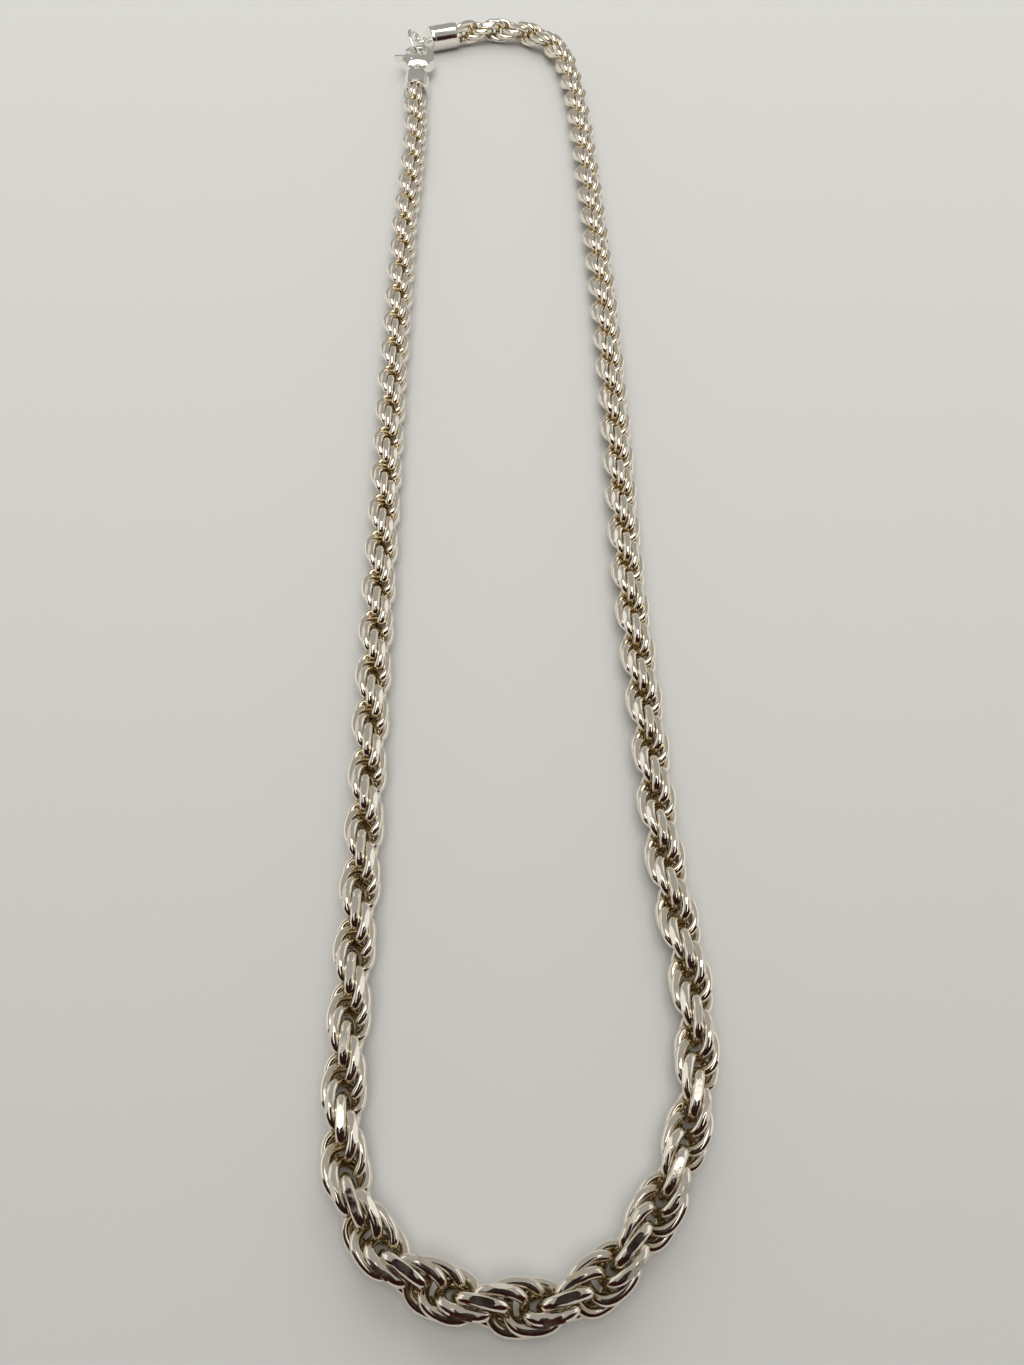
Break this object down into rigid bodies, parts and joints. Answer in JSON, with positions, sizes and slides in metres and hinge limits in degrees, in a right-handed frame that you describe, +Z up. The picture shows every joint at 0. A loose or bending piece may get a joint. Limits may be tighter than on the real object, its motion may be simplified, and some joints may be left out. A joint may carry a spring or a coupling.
{
  "type": "rope chain",
  "caption": "Twisted rope chain necklace of polished silver links, laid out as a closed loop, with barrel end caps, a catch ring and a lobster clasp whose lever swings.",
  "frame": {"origin": "on the surface that the necklace lies on, at the middle of the loop's outline", "axes": "+Y runs along the loop from the front bend to the clasp, +X to the right seen from above, +Z up"},
  "size_m": [0.0535, 0.2892, 0.0071],
  "materials": {
    "rope_silver": "polished silver with a faint warm tarnish in the twist",
    "findings_silver": "polished silver"
  },
  "bodies": {
    "necklace": {"rope_chain": "rope_silver", "ring_end_cap": "findings_silver", "clasp_end_cap": "findings_silver", "catch_ring": "findings_silver", "clasp_body": "findings_silver", "lever_pin": "findings_silver"},
    "lever": {"clasp_lever": "findings_silver"}
  },
  "joints": [
    {"name": "lever_hinge", "type": "hinge", "parent": "necklace", "child": "lever", "pos_m": [-0.0223, 0.12257, 0.0032], "axis": [0, 0, -1], "range_deg": [0, 35], "stiffness_Nm_per_rad": 0.009, "springref_deg": -17.19}
  ]
}
